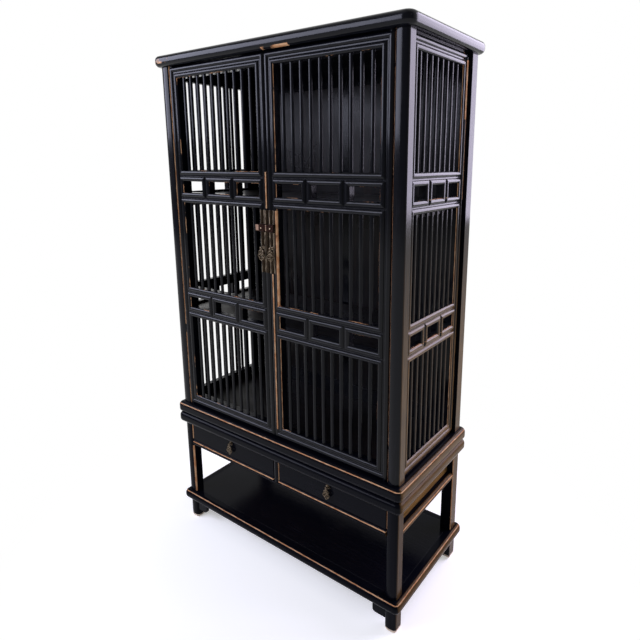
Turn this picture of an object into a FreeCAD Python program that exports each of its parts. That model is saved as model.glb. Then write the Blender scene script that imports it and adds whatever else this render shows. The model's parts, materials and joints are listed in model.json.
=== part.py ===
import FreeCAD, Part
import math
import os
from types import SimpleNamespace

import Sketcher
from FreeCAD import Placement, Rotation, Vector

# A lacquered book cabinet on its own stand, in millimetres.
# X runs along the front, Y to the back and Z up. The origin is on the floor, under the middle.
# Every size that can be set by itself is here and fills one named cell of the sheet.
SIZES = {
    # whole cabinet, over its posts
    "width": 1000,
    "depth": 450,
    # posts and legs
    "post_wide": 42,
    "front_post_deep": 38,
    "rear_post_deep": 46,
    "post_corner": 8,
    "post_corner_radius": 12,
    "post_bow": 2,
    "tenon_inset": 12,
    "tenon_long": 24,
    "foot_round": 8,
    # heights, from the floor up
    "shelf_height": 87,
    "shelf_thick": 38,
    "rail_height": 336,
    "rail_tall": 26,
    "rail_nose": 11,
    "drawer_tall": 76,
    "stand_frame_thick": 42,
    "floor_thick": 45,
    "door_foot_gap": 5,
    "low_section": 325,
    "middle_section": 316,
    "high_section": 315,
    "band_opening": 40,
    "door_head_gap": 3,
    "top_thick": 38,
    # boards framed round a panel
    "top_overhang": 20,
    "bead_overhang": 18,
    "top_corner": 30,
    "bead_corner": 20,
    "top_nose": 16,
    "bead_nose": 16,
    "top_member": 72,
    "bead_member": 62,
    "shelf_member": 46,
    "panel_thick": 14,
    "panel_ledge": 10,
    "panel_play": 0.2,
    "joint_line": 0.15,
    "fit_play": 0.1,
    # double bead on the members of doors and sides
    "bead": 17,
    "bead_groove": 4,
    "bead_rise": 5.5,
    # lattice of doors and sides
    "slat_wide": 12,
    "slat_thick": 7,
    "slat_rise": 3,
    "slat_set_back": 7,
    "door_slats": 10,
    "side_slats": 8,
    "band_uprights": 2,
    # doors
    "door_thick": 30,
    "door_set_back": 1.5,
    "hinge_gap": 1.5,
    "meeting_gap": 1.5,
    "pintle_set": 9,
    "pintle_radius": 6,
    "pintle_play": 0.05,
    "pintle_long": 12,
    "pintle_end_gap": 0.3,
    # sides and back
    "side_set_back": 11,
    "side_thick": 26,
    "back_set_back": 10,
    "back_thick": 24,
    "back_stile": 46,
    "back_rail": 60,
    "back_panel_thick": 12,
    # shelves inside
    "inner_shelf_thick": 18,
    "inner_shelf_drop": 9,
    "inner_shelf_set_back": 45,
    "bearer_wide": 22,
    "bearer_tall": 24,
    # stand
    "rail_deep": 30,
    "divider_wide": 26,
    "apron_set_back": 24,
    "apron_thick": 18,
    "runner_wide": 44,
    "runner_play": 0.3,
    "spandrel_long": 48,
    "spandrel_tall": 50,
    "spandrel_thick": 12,
    "spandrel_set_back": 8,
    "spandrel_corner": 10,
    # drawers
    "drawer_gap": 1,
    "drawer_set_back": 5,
    "drawer_front_thick": 20,
    "drawer_side_thick": 12,
    "drawer_side_inset": 2,
    "drawer_side_drop": 10,
    "drawer_long": 380,
    "drawer_bottom_thick": 6,
    "drawer_bottom_lift": 6,
    # face plates and staples of the lock
    "plate_thick": 1.5,
    "plate_play": 0.05,
    "plate_lift": 106,
    "plate_tall": 205,
    "staple_lift": 148,
    "staple_wide": 25,
    "strap_thick": 2.4,
    "strap_shoulder": 3,
    "boss_radius": 3,
    "boss_proud": 2.2,
    "bar_tall": 20,
    "bar_thick": 4,
    "bar_long": 47,
    "bar_tip_gap": 0.6,
    "bar_lift": 2,
    "bar_play": 0.4,
    "bar_edge": 1,
    # drop pulls
    "pin_radius": 1.5,
    "pin_play": 0.08,
    "eye_radius": 3.6,
    "eye_wide": 4,
    "lug_radius": 3.2,
    "lug_wide": 2.6,
    "lug_gap": 0.4,
    "post_radius": 1.8,
    "collar_radius": 5,
    "collar_thick": 1.5,
    "drop_thick": 3.4,
    "drop_clear": 1,
    "door_pin_lift": 84,
    "door_pin_reach": 12,
    "door_drop_upper": 11,
    "door_drop_lower": 15,
    "door_drop_long": 44,
    "drawer_pin_lift": 59,
    "drawer_pin_reach": 9,
    "drawer_pull_place": 233,
    "drawer_plate_radius": 8,
    "drawer_drop_upper": 10,
    "drawer_drop_lower": 14,
    "drawer_drop_long": 42,
    # every cut runs past its piece by this much
    "overrun": 1,
}

LEFT, RIGHT = 1, -1
NODES = []

document = FreeCAD.newDocument("BookCabinet")
sheet = document.addObject("Spreadsheet::Sheet", "Sizes")
for row, (alias, number) in enumerate(SIZES.items(), start=1):
    sheet.set(f"A{row}", alias)
    sheet.set(f"B{row}", str(number))
    sheet.setAlias(f"B{row}", alias)
document.recompute()


class Length:
    """A length, with the formula over the sheet's cells that gives it."""

    def __init__(self, value, formula):
        self.value = value
        self.formula = formula

    def __add__(self, other):
        return Length(self.value + other.value, f"({self.formula} + {other.formula})")

    def __sub__(self, other):
        return Length(self.value - other.value, f"({self.formula} - {other.formula})")

    def __neg__(self):
        return Length(-self.value, f"(-{self.formula})")

    def __mul__(self, other):
        factor = other if isinstance(other, Length) else Length(other, str(other))
        return Length(self.value * factor.value, f"({self.formula} * {factor.formula})")

    def __truediv__(self, other):
        parts = other if isinstance(other, Length) else Length(other, str(other))
        return Length(self.value / parts.value, f"({self.formula} / {parts.formula})")


ZERO = Length(0, "0")
ONE = Length(1, "1")
size = SimpleNamespace(**{alias: Length(sheet.get(alias), "Sizes." + alias) for alias in SIZES})


# Drawing helpers


def new_body(label):
    return document.addObject("PartDesign::Body", label)


def origin_feature(body, role):
    return next(feature for feature in body.Origin.OriginFeatures if feature.Role == role)


def new_sketch(body, role, offset=ZERO):
    """A sketch on one of the body's own planes, moved along the plane's normal."""
    sketch = body.newObject("Sketcher::SketchObject", "Sketch")
    sketch.AttachmentSupport = [(origin_feature(body, role), "")]
    sketch.MapMode = "FlatFace"
    sketch.setExpression("AttachmentOffset.Base.z", offset.formula)
    return sketch


def plan(body, level):
    """A sketch seen from above, at a height."""
    return new_sketch(body, "XY_Plane", level)


def elevation(body, place):
    """A sketch seen from the front, at a place along Y."""
    return new_sketch(body, "XZ_Plane", -place)


def section(body, place):
    """A sketch of Y and Z, at a place along X."""
    return new_sketch(body, "YZ_Plane", place)


def constrain(sketch, kind, references, length):
    index = sketch.addConstraint(Sketcher.Constraint(kind, *references, length.value))
    sketch.setExpression(f"Constraints[{index}]", length.formula)


def arc_between(start, end, radius, turn):
    """A circle's arc from start to end, its centre to the left or right of the way."""
    along = end - start
    half = along.Length / 2
    away = math.sqrt(max(radius * radius - half * half, 0))
    side = Vector(-along.y, along.x, 0).normalize() * (away * turn)
    centre = start + along / 2 + side
    first, last = (start, end) if turn == LEFT else (end, start)
    circle = Part.Circle(centre, Vector(0, 0, 1), radius)
    begin = math.atan2(first.y - centre.y, first.x - centre.x)
    finish = math.atan2(last.y - centre.y, last.x - centre.x)
    return Part.ArcOfCircle(circle, begin, finish)


def outline(sketch, corners):
    """A closed outline. A corner is (x, y), or (x, y, radius, turn) where an arc leaves it."""
    points = [Vector(corner[0].value, corner[1].value, 0) for corner in corners]
    starts = []
    ends = []
    for index, corner in enumerate(corners):
        start = points[index]
        end = points[(index + 1) % len(points)]
        if len(corner) == 2:
            edge = sketch.addGeometry(Part.LineSegment(start, end), False)
            starts.append((edge, 1))
            ends.append((edge, 2))
            continue
        radius, turn = corner[2], corner[3]
        edge = sketch.addGeometry(arc_between(start, end, radius.value, turn), False)
        starts.append((edge, 1 if turn == LEFT else 2))
        ends.append((edge, 2 if turn == LEFT else 1))
        constrain(sketch, "Radius", (edge,), radius)
    for index, corner in enumerate(corners):
        sketch.addConstraint(Sketcher.Constraint("Coincident", *ends[index - 1], *starts[index]))
        constrain(sketch, "DistanceX", (-1, 1, *starts[index]), corner[0])
        constrain(sketch, "DistanceY", (-1, 1, *starts[index]), corner[1])


def round_outline(sketch, across, along, radius):
    """A circle about (across, along)."""
    centre = Vector(across.value, along.value, 0)
    edge = sketch.addGeometry(Part.Circle(centre, Vector(0, 0, 1), radius.value), False)
    constrain(sketch, "Radius", (edge,), radius)
    constrain(sketch, "DistanceX", (-1, 1, edge, 3), across)
    constrain(sketch, "DistanceY", (-1, 1, edge, 3), along)


def rectangle(low_x, high_x, low_y, high_y):
    return [(low_x, low_y), (high_x, low_y), (high_x, high_y), (low_x, high_y)]


def swapped(corners):
    """The same outline with its two directions changed over."""
    turned = []
    for corner in corners:
        if len(corner) == 2:
            turned.append((corner[1], corner[0]))
        else:
            turned.append((corner[1], corner[0], corner[2], -corner[3]))
    return turned


def mirrored(corners):
    """The same outline on the other side of the middle."""
    turned = []
    for corner in corners:
        if len(corner) == 2:
            turned.append((-corner[0], corner[1]))
        else:
            turned.append((-corner[0], corner[1], corner[2], -corner[3]))
    return turned


def pad(body, sketch, length, backwards=False):
    feature = body.newObject("PartDesign::Pad", "Pad")
    feature.Profile = sketch
    feature.setExpression("Length", length.formula)
    feature.Reversed = backwards
    body.Tip = feature
    return feature


def pocket(body, sketch, length, backwards=False):
    feature = body.newObject("PartDesign::Pocket", "Pocket")
    feature.Profile = sketch
    feature.setExpression("Length", length.formula)
    feature.Reversed = backwards
    body.Tip = feature
    return feature


def cut_from_front(body, outlines, face, thick):
    """Cuts outlines drawn in elevation right through a piece that lies behind its face."""
    sketch = elevation(body, face - size.overrun)
    for corners in outlines:
        outline(sketch, corners)
    return pocket(body, sketch, thick + size.overrun * 2)


def cut_from_above(body, outlines, top, deep):
    """Cuts outlines drawn in plan down from a top face."""
    sketch = plan(body, top + size.overrun)
    for corners in outlines:
        outline(sketch, corners)
    return pocket(body, sketch, deep + size.overrun)


def cut_from_below(body, outlines, bottom, deep):
    """Cuts outlines drawn in plan up from an underside."""
    sketch = plan(body, bottom - size.overrun)
    for corners in outlines:
        outline(sketch, corners)
    return pocket(body, sketch, deep + size.overrun, backwards=True)


def repeat(body, features, role, pitch, count):
    pattern = body.newObject("PartDesign::LinearPattern", "Row")
    pattern.Originals = features
    pattern.Direction = (origin_feature(body, role), [""])
    pattern.Mode = "Spacing"
    pattern.setExpression("Offset", pitch.formula)
    pattern.setExpression("Occurrences", count.formula)
    body.Tip = pattern
    return pattern


def round_edges(body, base, wanted, radius):
    """Rounds the base feature's edges that a test picks out."""
    document.recompute()
    names = [f"Edge{index}" for index, edge in enumerate(base.Shape.Edges, start=1) if wanted(edge)]
    fillet = body.newObject("PartDesign::Fillet", "Fillet")
    fillet.Base = (base, names)
    fillet.setExpression("Radius", radius.formula)
    body.Tip = fillet
    return fillet


def move_to(piece, across, along, turn=0):
    """Puts a piece drawn in its own frame at a place on the cabinet, turned about Z."""
    piece.Placement = Placement(Vector(), Rotation(Vector(0, 0, 1), turn))
    piece.setExpression("Placement.Base.x", across.formula)
    piece.setExpression("Placement.Base.y", along.formula)


def board(label, low_x, high_x, low_y, high_y, low_z, high_z):
    """A plain board between six places."""
    box = document.addObject("Part::Box", label)
    box.setExpression("Length", (high_x - low_x).formula)
    box.setExpression("Width", (high_y - low_y).formula)
    box.setExpression("Height", (high_z - low_z).formula)
    box.setExpression("Placement.Base.x", low_x.formula)
    box.setExpression("Placement.Base.y", low_y.formula)
    box.setExpression("Placement.Base.z", low_z.formula)
    return box


def keep(piece, label):
    """Names a finished piece and lists it for writing."""
    piece.Label = label
    NODES.append(piece)
    return piece


def keep_group(pieces, label):
    """Keeps separate pieces of one kind together under one name."""
    group = document.addObject("Part::Compound", label)
    group.Links = pieces
    return keep(group, label)


# Places that several pieces share

half_width = size.width / 2
front = -(size.depth / 2)
back = size.depth / 2
post_inside = half_width - size.post_wide
front_post_back = front + size.front_post_deep
rear_post_front = back - size.rear_post_deep
member = size.bead * 2 + size.bead_groove
half_member = member / 2


def arc_radius(chord, rise):
    """The radius of an arc that rises this far over its chord."""
    return (chord * chord / 4 + rise * rise) / (rise * 2)


bead_radius = arc_radius(size.bead, size.bead_rise)
shelf_top = size.shelf_height + size.shelf_thick
rail_top = size.rail_height + size.rail_tall
stand_frame_low = rail_top + size.drawer_tall
floor_low = stand_frame_low + size.stand_frame_thick
floor_top = floor_low + size.floor_thick
door_foot = floor_top + size.door_foot_gap

# The levels of the lattice: each rail's lower edge, and the openings between the rails
low_section_foot = door_foot + member
low_band = low_section_foot + size.low_section
low_band_upper = low_band + member + size.band_opening
middle_section_foot = low_band_upper + member
high_band = middle_section_foot + size.middle_section
high_band_upper = high_band + member + size.band_opening
high_section_foot = high_band_upper + member
head_rail = high_section_foot + size.high_section
door_head = head_rail + member
top_low = door_head + size.door_head_gap
top_high = top_low + size.top_thick
SECTIONS = [
    (low_section_foot, low_band),
    (middle_section_foot, high_band),
    (high_section_foot, head_rail),
]
BANDS = [(low_band, low_band_upper), (high_band, high_band_upper)]


# Lattice members, drawn in the panel's own frame: X across it, its face at Y zero


def double_bead(start, thick, land_before=None, land_after=None):
    """The section of a member: two beads with a groove between, and a flat land where wanted."""
    first_end = start + size.bead
    second_start = first_end + size.bead_groove
    end = start + member
    corners = [
        (start, size.bead_rise, bead_radius, LEFT),
        (first_end, size.bead_rise),
        (second_start, size.bead_rise, bead_radius, LEFT),
        (end, size.bead_rise),
    ]
    last = end
    if land_after:
        last = end + land_after
        corners.append((last, size.bead_rise))
    first = start
    if land_before:
        first = start - land_before
    corners.append((last, thick))
    corners.append((first, thick))
    if land_before:
        corners.append((first, size.bead_rise))
    return corners


def stile_blank(body, start, thick):
    """A stile before its joints are cut: full height, its section drawn in plan."""
    sketch = plan(body, door_foot)
    outline(sketch, double_bead(start, thick))
    return pad(body, sketch, door_head - door_foot)


def rail_blank(body, low, first, last, thick, land_before=None, land_after=None):
    """A rail before its joints are cut, its section drawn from the side."""
    sketch = section(body, first)
    outline(sketch, swapped(double_bead(low, thick, land_before, land_after)))
    return pad(body, sketch, last - first)


def mitre_cut(corner_x, corner_z, across, up, removes_end):
    """The half of a corner square that a mitred stile or rail gives up."""
    over = size.overrun
    reach = member + over
    outer = (corner_x - over * across, corner_z - over * up)
    inner = (corner_x + reach * across, corner_z + reach * up)
    if removes_end:
        return [outer, inner, (inner[0], outer[1])]
    return [outer, inner, (outer[0], inner[1])]


def notch(tip_x, tip_z, across, up):
    """A right-angled notch with its tip on a member's middle line."""
    reach = half_member + size.overrun
    if across:
        side = tip_x + reach * across
        return [(tip_x, tip_z), (side, tip_z - reach), (side, tip_z + reach)]
    side = tip_z + reach * up
    return [(tip_x, tip_z), (tip_x - reach, side), (tip_x + reach, side)]


def point_cut(tip_x, tip_z, across, up):
    """What is cut off a blank's end to leave a right-angled point that fits a notch."""
    reach = half_member + size.overrun
    over = size.overrun
    if across:
        inner = tip_x + reach * across
        outer = tip_x - over * across
        return [
            (tip_x, tip_z),
            (inner, tip_z + reach),
            (outer, tip_z + reach),
            (outer, tip_z - reach),
            (inner, tip_z - reach),
        ]
    inner = tip_z + reach * up
    outer = tip_z - over * up
    return [
        (tip_x, tip_z),
        (tip_x + reach, inner),
        (tip_x + reach, outer),
        (tip_x - reach, outer),
        (tip_x - reach, inner),
    ]


def stile(body, start, inward, thick):
    """A stile mitred at both ends and notched for the band rails along its inner edge."""
    stile_blank(body, start, thick)
    outer = start if inward > 0 else start + member
    cuts = [
        mitre_cut(outer, door_foot, inward, 1, True),
        mitre_cut(outer, door_head, inward, -1, True),
    ]
    for lower, upper in BANDS:
        cuts.append(notch(start + half_member, lower + half_member, inward, 0))
        cuts.append(notch(start + half_member, upper + half_member, inward, 0))
    cut_from_front(body, cuts, ZERO, thick)


def end_rails(body, wide, thick, foot_land=None, head_land=None):
    """The rails at the foot and head of a lattice, mitred to its stiles."""
    rail_blank(body, door_foot, ZERO, wide, thick, land_before=foot_land)
    rail_blank(body, head_rail, ZERO, wide, thick, land_after=head_land)
    cuts = [
        mitre_cut(ZERO, door_foot, 1, 1, False),
        mitre_cut(wide, door_foot, -1, 1, False),
        mitre_cut(ZERO, door_head, 1, -1, False),
        mitre_cut(wide, door_head, -1, -1, False),
    ]
    cut_from_front(body, cuts, ZERO, thick)


def upright_places(wide):
    """The middle of each band upright."""
    opening = (wide - member * 2 - member * size.band_uprights) / (size.band_uprights + ONE)
    pitch = opening + member
    count = int(size.band_uprights.value)
    return [member + opening + half_member + pitch * index for index in range(count)]


def band_rails(body, wide, thick):
    """Four rails, two to a band, pointed into the stiles and notched for the uprights."""
    cuts = []
    for lower, upper in BANDS:
        for low, opens in ((lower, 1), (upper, -1)):
            rail_blank(body, low, half_member, wide - half_member, thick)
            middle = low + half_member
            cuts.append(point_cut(half_member, middle, 1, 0))
            cuts.append(point_cut(wide - half_member, middle, -1, 0))
            for place in upright_places(wide):
                cuts.append(notch(place, middle, 0, opens))
    cut_from_front(body, cuts, ZERO, thick)


def band_uprights(body, wide, thick):
    """Short uprights between the two rails of each band, pointed into both."""
    cuts = []
    for lower, upper in BANDS:
        foot = lower + half_member
        head = upper + half_member
        for place in upright_places(wide):
            sketch = plan(body, foot)
            outline(sketch, double_bead(place - half_member, thick))
            pad(body, sketch, head - foot)
            cuts.append(point_cut(place, foot, 0, 1))
            cuts.append(point_cut(place, head, 0, -1))
    cut_from_front(body, cuts, ZERO, thick)


def slats(body, wide, count):
    """Round-faced slats with equal gaps, standing between the rails of each section."""
    gap = (wide - member * 2 - size.slat_wide * count) / (count + ONE)
    first = member + gap
    face = size.slat_set_back + size.slat_rise
    last = first + size.slat_wide
    rear = size.slat_set_back + size.slat_thick
    corners = [
        (first, face, arc_radius(size.slat_wide, size.slat_rise), LEFT),
        (last, face),
        (last, rear),
        (first, rear),
    ]
    starts = []
    for foot, head in SECTIONS:
        sketch = plan(body, foot)
        outline(sketch, corners)
        starts.append(pad(body, sketch, head - foot))
    repeat(body, starts, "X_Axis", size.slat_wide + gap, count)


# Boards framed with mitred members round a panel


def rounded_rectangle(half_x, half_y, corner):
    """A rectangle about the middle with rounded corners, drawn anticlockwise."""
    return [
        (-half_x + corner, -half_y),
        (half_x - corner, -half_y, corner, LEFT),
        (half_x, -half_y + corner),
        (half_x, half_y - corner, corner, LEFT),
        (half_x - corner, half_y),
        (-half_x + corner, half_y, corner, LEFT),
        (-half_x, half_y - corner),
        (-half_x, -half_y + corner, corner, LEFT),
    ]


def mitre_kerfs(half_x, half_y, wide):
    """The four joint lines of a mitred frame, as thin strips from the inner to the outer corner."""
    line = size.joint_line
    over = size.overrun
    strips = []
    for across in (1, -1):
        for along in (1, -1):
            inner_x = (half_x - wide - over) * across
            inner_y = (half_y - wide - over) * along
            outer_x = (half_x + over) * across
            outer_y = (half_y + over) * along
            strips.append([
                (inner_x - line * across, inner_y),
                (inner_x, inner_y - line * along),
                (outer_x, outer_y - line * along),
                (outer_x - line * across, outer_y),
            ])
    return strips


def nosed_frame(body, low, thick, overhang, wide, corner, nose):
    """A frame with a rounded nose all round, before its joints are cut."""
    half_x = half_width + overhang
    half_y = back + overhang
    sketch = plan(body, low)
    outline(sketch, rounded_rectangle(half_x, half_y, corner))
    outline(sketch, rectangle(-(half_x - wide), half_x - wide, -(half_y - wide), half_y - wide))
    blank = pad(body, sketch, thick)

    def on_outer_arris(edge):
        box = edge.BoundBox
        flat = box.ZLength < size.overrun.value
        outside_x = max(abs(box.XMin), abs(box.XMax)) > (half_x - wide + size.overrun).value
        outside_y = max(abs(box.YMin), abs(box.YMax)) > (half_y - wide + size.overrun).value
        return flat and (outside_x or outside_y)

    round_edges(body, blank, on_outer_arris, nose)
    return half_x, half_y


def panel_seat(half_x, half_y, wide, play):
    """The outline in which a panel lies: the frame's opening and its ledge."""
    reach_x = half_x - wide + size.panel_ledge - play
    reach_y = half_y - wide + size.panel_ledge - play
    return rectangle(-reach_x, reach_x, -reach_y, reach_y)


def split_frame(body, half_x, half_y, wide, low, thick):
    """Cuts the mitred joints, so that the frame is four members."""
    cut_from_above(body, mitre_kerfs(half_x, half_y, wide), low + thick, thick + size.overrun)


# Posts and legs


def front_post_outline():
    """The right front post in plan: a bowed face between two rounded corners."""
    corner = size.post_corner
    lip = front + size.post_bow
    bow = arc_radius(size.post_wide - corner * 2, size.post_bow)
    return [
        (post_inside, front_post_back),
        (post_inside, lip + corner, size.post_corner_radius, LEFT),
        (post_inside + corner, lip, bow, LEFT),
        (half_width - corner, lip, size.post_corner_radius, LEFT),
        (half_width, lip + corner),
        (half_width, front_post_back),
    ]


def rear_post_outline():
    """The right rear post in plan, with its outer corner rounded."""
    corner = size.post_corner
    return [
        (post_inside, rear_post_front),
        (half_width, rear_post_front),
        (half_width, back - corner, size.post_corner_radius, LEFT),
        (half_width - corner, back),
        (post_inside, back),
    ]


def tenon_outline(near, far, play=ZERO):
    """A post's tenon in plan. A mortise takes the same outline and a little play."""
    inset = size.tenon_inset - play
    return rectangle(post_inside + inset, half_width - inset, near + inset, far - inset)


def tenon_outlines(play=ZERO):
    """All four tenons in plan."""
    right = [
        tenon_outline(front, front_post_back, play),
        tenon_outline(rear_post_front, back, play),
    ]
    return right + [mirrored(corners) for corners in right]


def pair_pad(body, corners, foot, length, backwards=False):
    """An outline and its mirror image, left and right, raised together."""
    sketch = plan(body, foot)
    outline(sketch, corners)
    outline(sketch, mirrored(corners))
    return pad(body, sketch, length, backwards)


def cabinet_posts(corners, tenon, label):
    """A pair of posts from the cabinet's floor to its top, tenoned into both."""
    body = new_body(label)
    pair_pad(body, corners, floor_top, top_low - floor_top)
    pair_pad(body, tenon, floor_top, size.tenon_long, backwards=True)
    pair_pad(body, tenon, top_low, size.tenon_long)
    keep(body, label)


def stand_legs(corners, tenon, label):
    """A pair of legs with rounded feet, running through the low shelf up to the stand's frame."""
    body = new_body(label)
    blank = pair_pad(body, corners, ZERO, stand_frame_low)

    def on_foot(edge):
        return edge.BoundBox.ZMax < size.overrun.value

    round_edges(body, blank, on_foot, size.foot_round)
    pair_pad(body, tenon, stand_frame_low, size.tenon_long)
    keep(body, label)


# Carcass


def hinge_place():
    """The hinge axis of the right door: across and along."""
    across = post_inside - size.hinge_gap - size.pintle_set
    along = front + size.door_set_back + size.pintle_set
    return across, along


def cut_sockets(body, from_above, face):
    """Round sockets for the door pintles in the cabinet's floor or top."""
    across, along = hinge_place()
    deep = size.pintle_long + size.pintle_end_gap
    over = size.overrun
    sketch = plan(body, face + over if from_above else face - over)
    for side in (across, -across):
        round_outline(sketch, side, along, size.pintle_radius + size.pintle_play)
    pocket(body, sketch, deep + over, backwards=not from_above)


def cabinet_top():
    body = new_body("top_frame")
    wide = size.top_member
    half_x, half_y = nosed_frame(
        body, top_low, size.top_thick, size.top_overhang, wide, size.top_corner, size.top_nose
    )
    cut_from_above(body, [panel_seat(half_x, half_y, wide, ZERO)], top_high, size.panel_thick)
    cut_from_below(body, tenon_outlines(size.fit_play), top_low, size.tenon_long + size.fit_play)
    cut_sockets(body, False, top_low)
    split_frame(body, half_x, half_y, wide, top_low, size.top_thick)
    keep(body, "top_frame")
    lay_panel("top_panel", half_x, half_y, wide, top_high)


def lay_panel(label, half_x, half_y, wide, top):
    """A panel lying on its frame's ledge, flush with the top."""
    reach_x = half_x - wide + size.panel_ledge - size.panel_play
    reach_y = half_y - wide + size.panel_ledge - size.panel_play
    panel = board(label, -reach_x, reach_x, -reach_y, reach_y, top - size.panel_thick, top)
    keep(panel, label)


def cabinet_floor():
    body = new_body("cabinet_floor_frame")
    wide = size.bead_member
    half_x, half_y = nosed_frame(
        body, floor_low, size.floor_thick, size.bead_overhang, wide, size.bead_corner, size.bead_nose
    )
    cut_from_above(body, [panel_seat(half_x, half_y, wide, ZERO)], floor_top, size.panel_thick)
    cut_from_above(body, tenon_outlines(size.fit_play), floor_top, size.tenon_long + size.fit_play)
    cut_sockets(body, True, floor_top)
    split_frame(body, half_x, half_y, wide, floor_low, size.floor_thick)
    keep(body, "cabinet_floor_frame")
    lay_panel("cabinet_floor_panel", half_x, half_y, wide, floor_top)


side_wide = rear_post_front - front_post_back


def place_side(piece, hand):
    """Stands a side's lattice between its posts, facing out."""
    face = (half_width - size.side_set_back) * hand
    if hand > 0:
        move_to(piece, face, front_post_back, 90)
    else:
        move_to(piece, face, rear_post_front, -90)
    return piece


def cabinet_side(name, hand):
    thick = size.side_thick
    near = new_body(name + "_near_stile")
    stile(near, ZERO, 1, thick)
    far = new_body(name + "_far_stile")
    stile(far, side_wide - member, -1, thick)
    ends = new_body(name + "_end_rails")
    end_rails(ends, side_wide, thick, size.door_foot_gap, size.door_head_gap)
    keep_group([place_side(piece, hand) for piece in (near, far, ends)], name + "_frame")
    rails = new_body(name + "_band_rails")
    band_rails(rails, side_wide, thick)
    uprights = new_body(name + "_band_uprights")
    band_uprights(uprights, side_wide, thick)
    keep_group([place_side(piece, hand) for piece in (rails, uprights)], name + "_bands")
    bars = new_body(name + "_slats")
    slats(bars, side_wide, size.side_slats)
    keep(place_side(bars, hand), name + "_slats")


back_face = back - size.back_set_back
back_inside = back_face - size.back_thick


def back_openings():
    """The two openings of the back, either side of its middle stile."""
    inner = size.back_stile / 2
    outer = post_inside - size.back_stile
    low = floor_top + size.back_rail
    high = top_low - size.back_rail
    return [rectangle(inner, outer, low, high), rectangle(-outer, -inner, low, high)]


def cabinet_back():
    body = new_body("back_frame")
    sketch = elevation(body, back_inside)
    outline(sketch, rectangle(-post_inside, post_inside, floor_top, top_low))
    for corners in back_openings():
        outline(sketch, corners)
    pad(body, sketch, size.back_thick, backwards=True)
    line = size.joint_line
    over = size.overrun
    edge = post_inside - size.back_stile
    half_stile = size.back_stile / 2
    low = floor_top + size.back_rail
    high = top_low - size.back_rail
    cuts = []
    for foot, head in ((floor_top - over, low + over), (high - over, top_low + over)):
        cuts.append(rectangle(edge - line, edge, foot, head))
        cuts.append(rectangle(-edge, line - edge, foot, head))
    for foot, head in ((low, low + line), (high - line, high)):
        cuts.append(rectangle(-(half_stile + over), half_stile + over, foot, head))
    cut_from_front(body, cuts, back_inside, size.back_thick)
    keep(body, "back_frame")
    panels = new_body("back_panels")
    inside = back_inside + (size.back_thick - size.back_panel_thick) / 2
    sketch = elevation(panels, inside)
    for corners in back_openings():
        outline(sketch, corners)
    pad(panels, sketch, size.back_panel_thick, backwards=True)
    keep(panels, "back_panels")


side_inside = half_width - size.side_set_back - size.side_thick


def inner_shelves():
    """Two shelves behind the bands, each on a pair of bearers fixed to the sides."""
    reach = side_inside - size.panel_play
    near = front + size.inner_shelf_set_back
    bearers = new_body("shelf_bearers")
    for label, level in (("lower_shelf", low_band), ("upper_shelf", high_band)):
        top = level + member - size.inner_shelf_drop
        low = top - size.inner_shelf_thick
        keep(board(label, -reach, reach, near, rear_post_front, low, top), label)
        sketch = plan(bearers, low)
        inside = side_inside - size.bearer_wide
        outline(sketch, rectangle(inside, side_inside, front_post_back, rear_post_front))
        outline(sketch, rectangle(-side_inside, -inside, front_post_back, rear_post_front))
        pad(bearers, sketch, size.bearer_tall, backwards=True)
    keep(bearers, "shelf_bearers")


# Stand


def stand_top():
    body = new_body("stand_top_frame")
    wide = size.bead_member
    thick = size.stand_frame_thick
    half_x, half_y = nosed_frame(
        body, stand_frame_low, thick, size.bead_overhang, wide, size.bead_corner, size.bead_nose
    )
    mortises = tenon_outlines(size.fit_play)
    cut_from_below(body, mortises, stand_frame_low, size.tenon_long + size.fit_play)
    split_frame(body, half_x, half_y, wide, stand_frame_low, thick)
    keep(body, "stand_top_frame")


def nose_section(face, low, tall, deep, outward=-1):
    """A bar's section with a rounded face, as (depth, height). Its face looks outward."""
    flat = face - size.rail_nose * outward
    rear = face - deep * outward
    turn = LEFT if outward < 0 else RIGHT
    return [
        (flat, low + tall, arc_radius(tall, size.rail_nose), turn),
        (flat, low),
        (rear, low),
        (rear, low + tall),
    ]


def drawer_rail():
    """The rail under the drawers, with a rounded face and a housing for the divider."""
    body = new_body("drawer_rail")
    sketch = section(body, -post_inside)
    outline(sketch, nose_section(front, size.rail_height, size.rail_tall, size.rail_deep))
    pad(body, sketch, post_inside * 2)
    half = size.divider_wide / 2
    housing = rectangle(-half, half, rail_top - size.rail_tall / 2, rail_top + size.overrun)
    cut_from_front(body, [housing], front, size.rail_deep)
    keep(body, "drawer_rail")


def drawer_divider():
    """The upright between the drawers, its foot housed in the rail."""
    body = new_body("drawer_divider")
    foot = rail_top - size.rail_tall / 2
    half = size.divider_wide / 2
    sketch = plan(body, foot)
    corners = swapped(nose_section(front, -half, size.divider_wide, size.rail_deep))
    outline(sketch, corners)
    pad(body, sketch, stand_frame_low - foot)
    keep(body, "drawer_divider")


def stand_rails():
    """Round-faced rails at both sides and the back of the stand."""
    body = new_body("stand_rails")
    sketch = elevation(body, front_post_back)
    right = nose_section(half_width, size.rail_height, size.rail_tall, size.rail_deep, 1)
    outline(sketch, right)
    outline(sketch, mirrored(right))
    pad(body, sketch, rear_post_front - front_post_back, backwards=True)
    sketch = section(body, -post_inside)
    outline(sketch, nose_section(back, size.rail_height, size.rail_tall, size.rail_deep, 1))
    pad(body, sketch, post_inside * 2)
    keep(body, "stand_rails")


def stand_aprons():
    """Flat aprons over the side and back rails, set back from them."""
    body = new_body("stand_aprons")
    sketch = plan(body, rail_top)
    outer = half_width - size.apron_set_back
    inner = outer - size.apron_thick
    rear = back - size.apron_set_back
    outline(sketch, rectangle(inner, outer, front_post_back, rear_post_front))
    outline(sketch, rectangle(-outer, -inner, front_post_back, rear_post_front))
    outline(sketch, rectangle(-post_inside, post_inside, rear - size.apron_thick, rear))
    pad(body, sketch, size.drawer_tall)
    keep(body, "stand_aprons")


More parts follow.
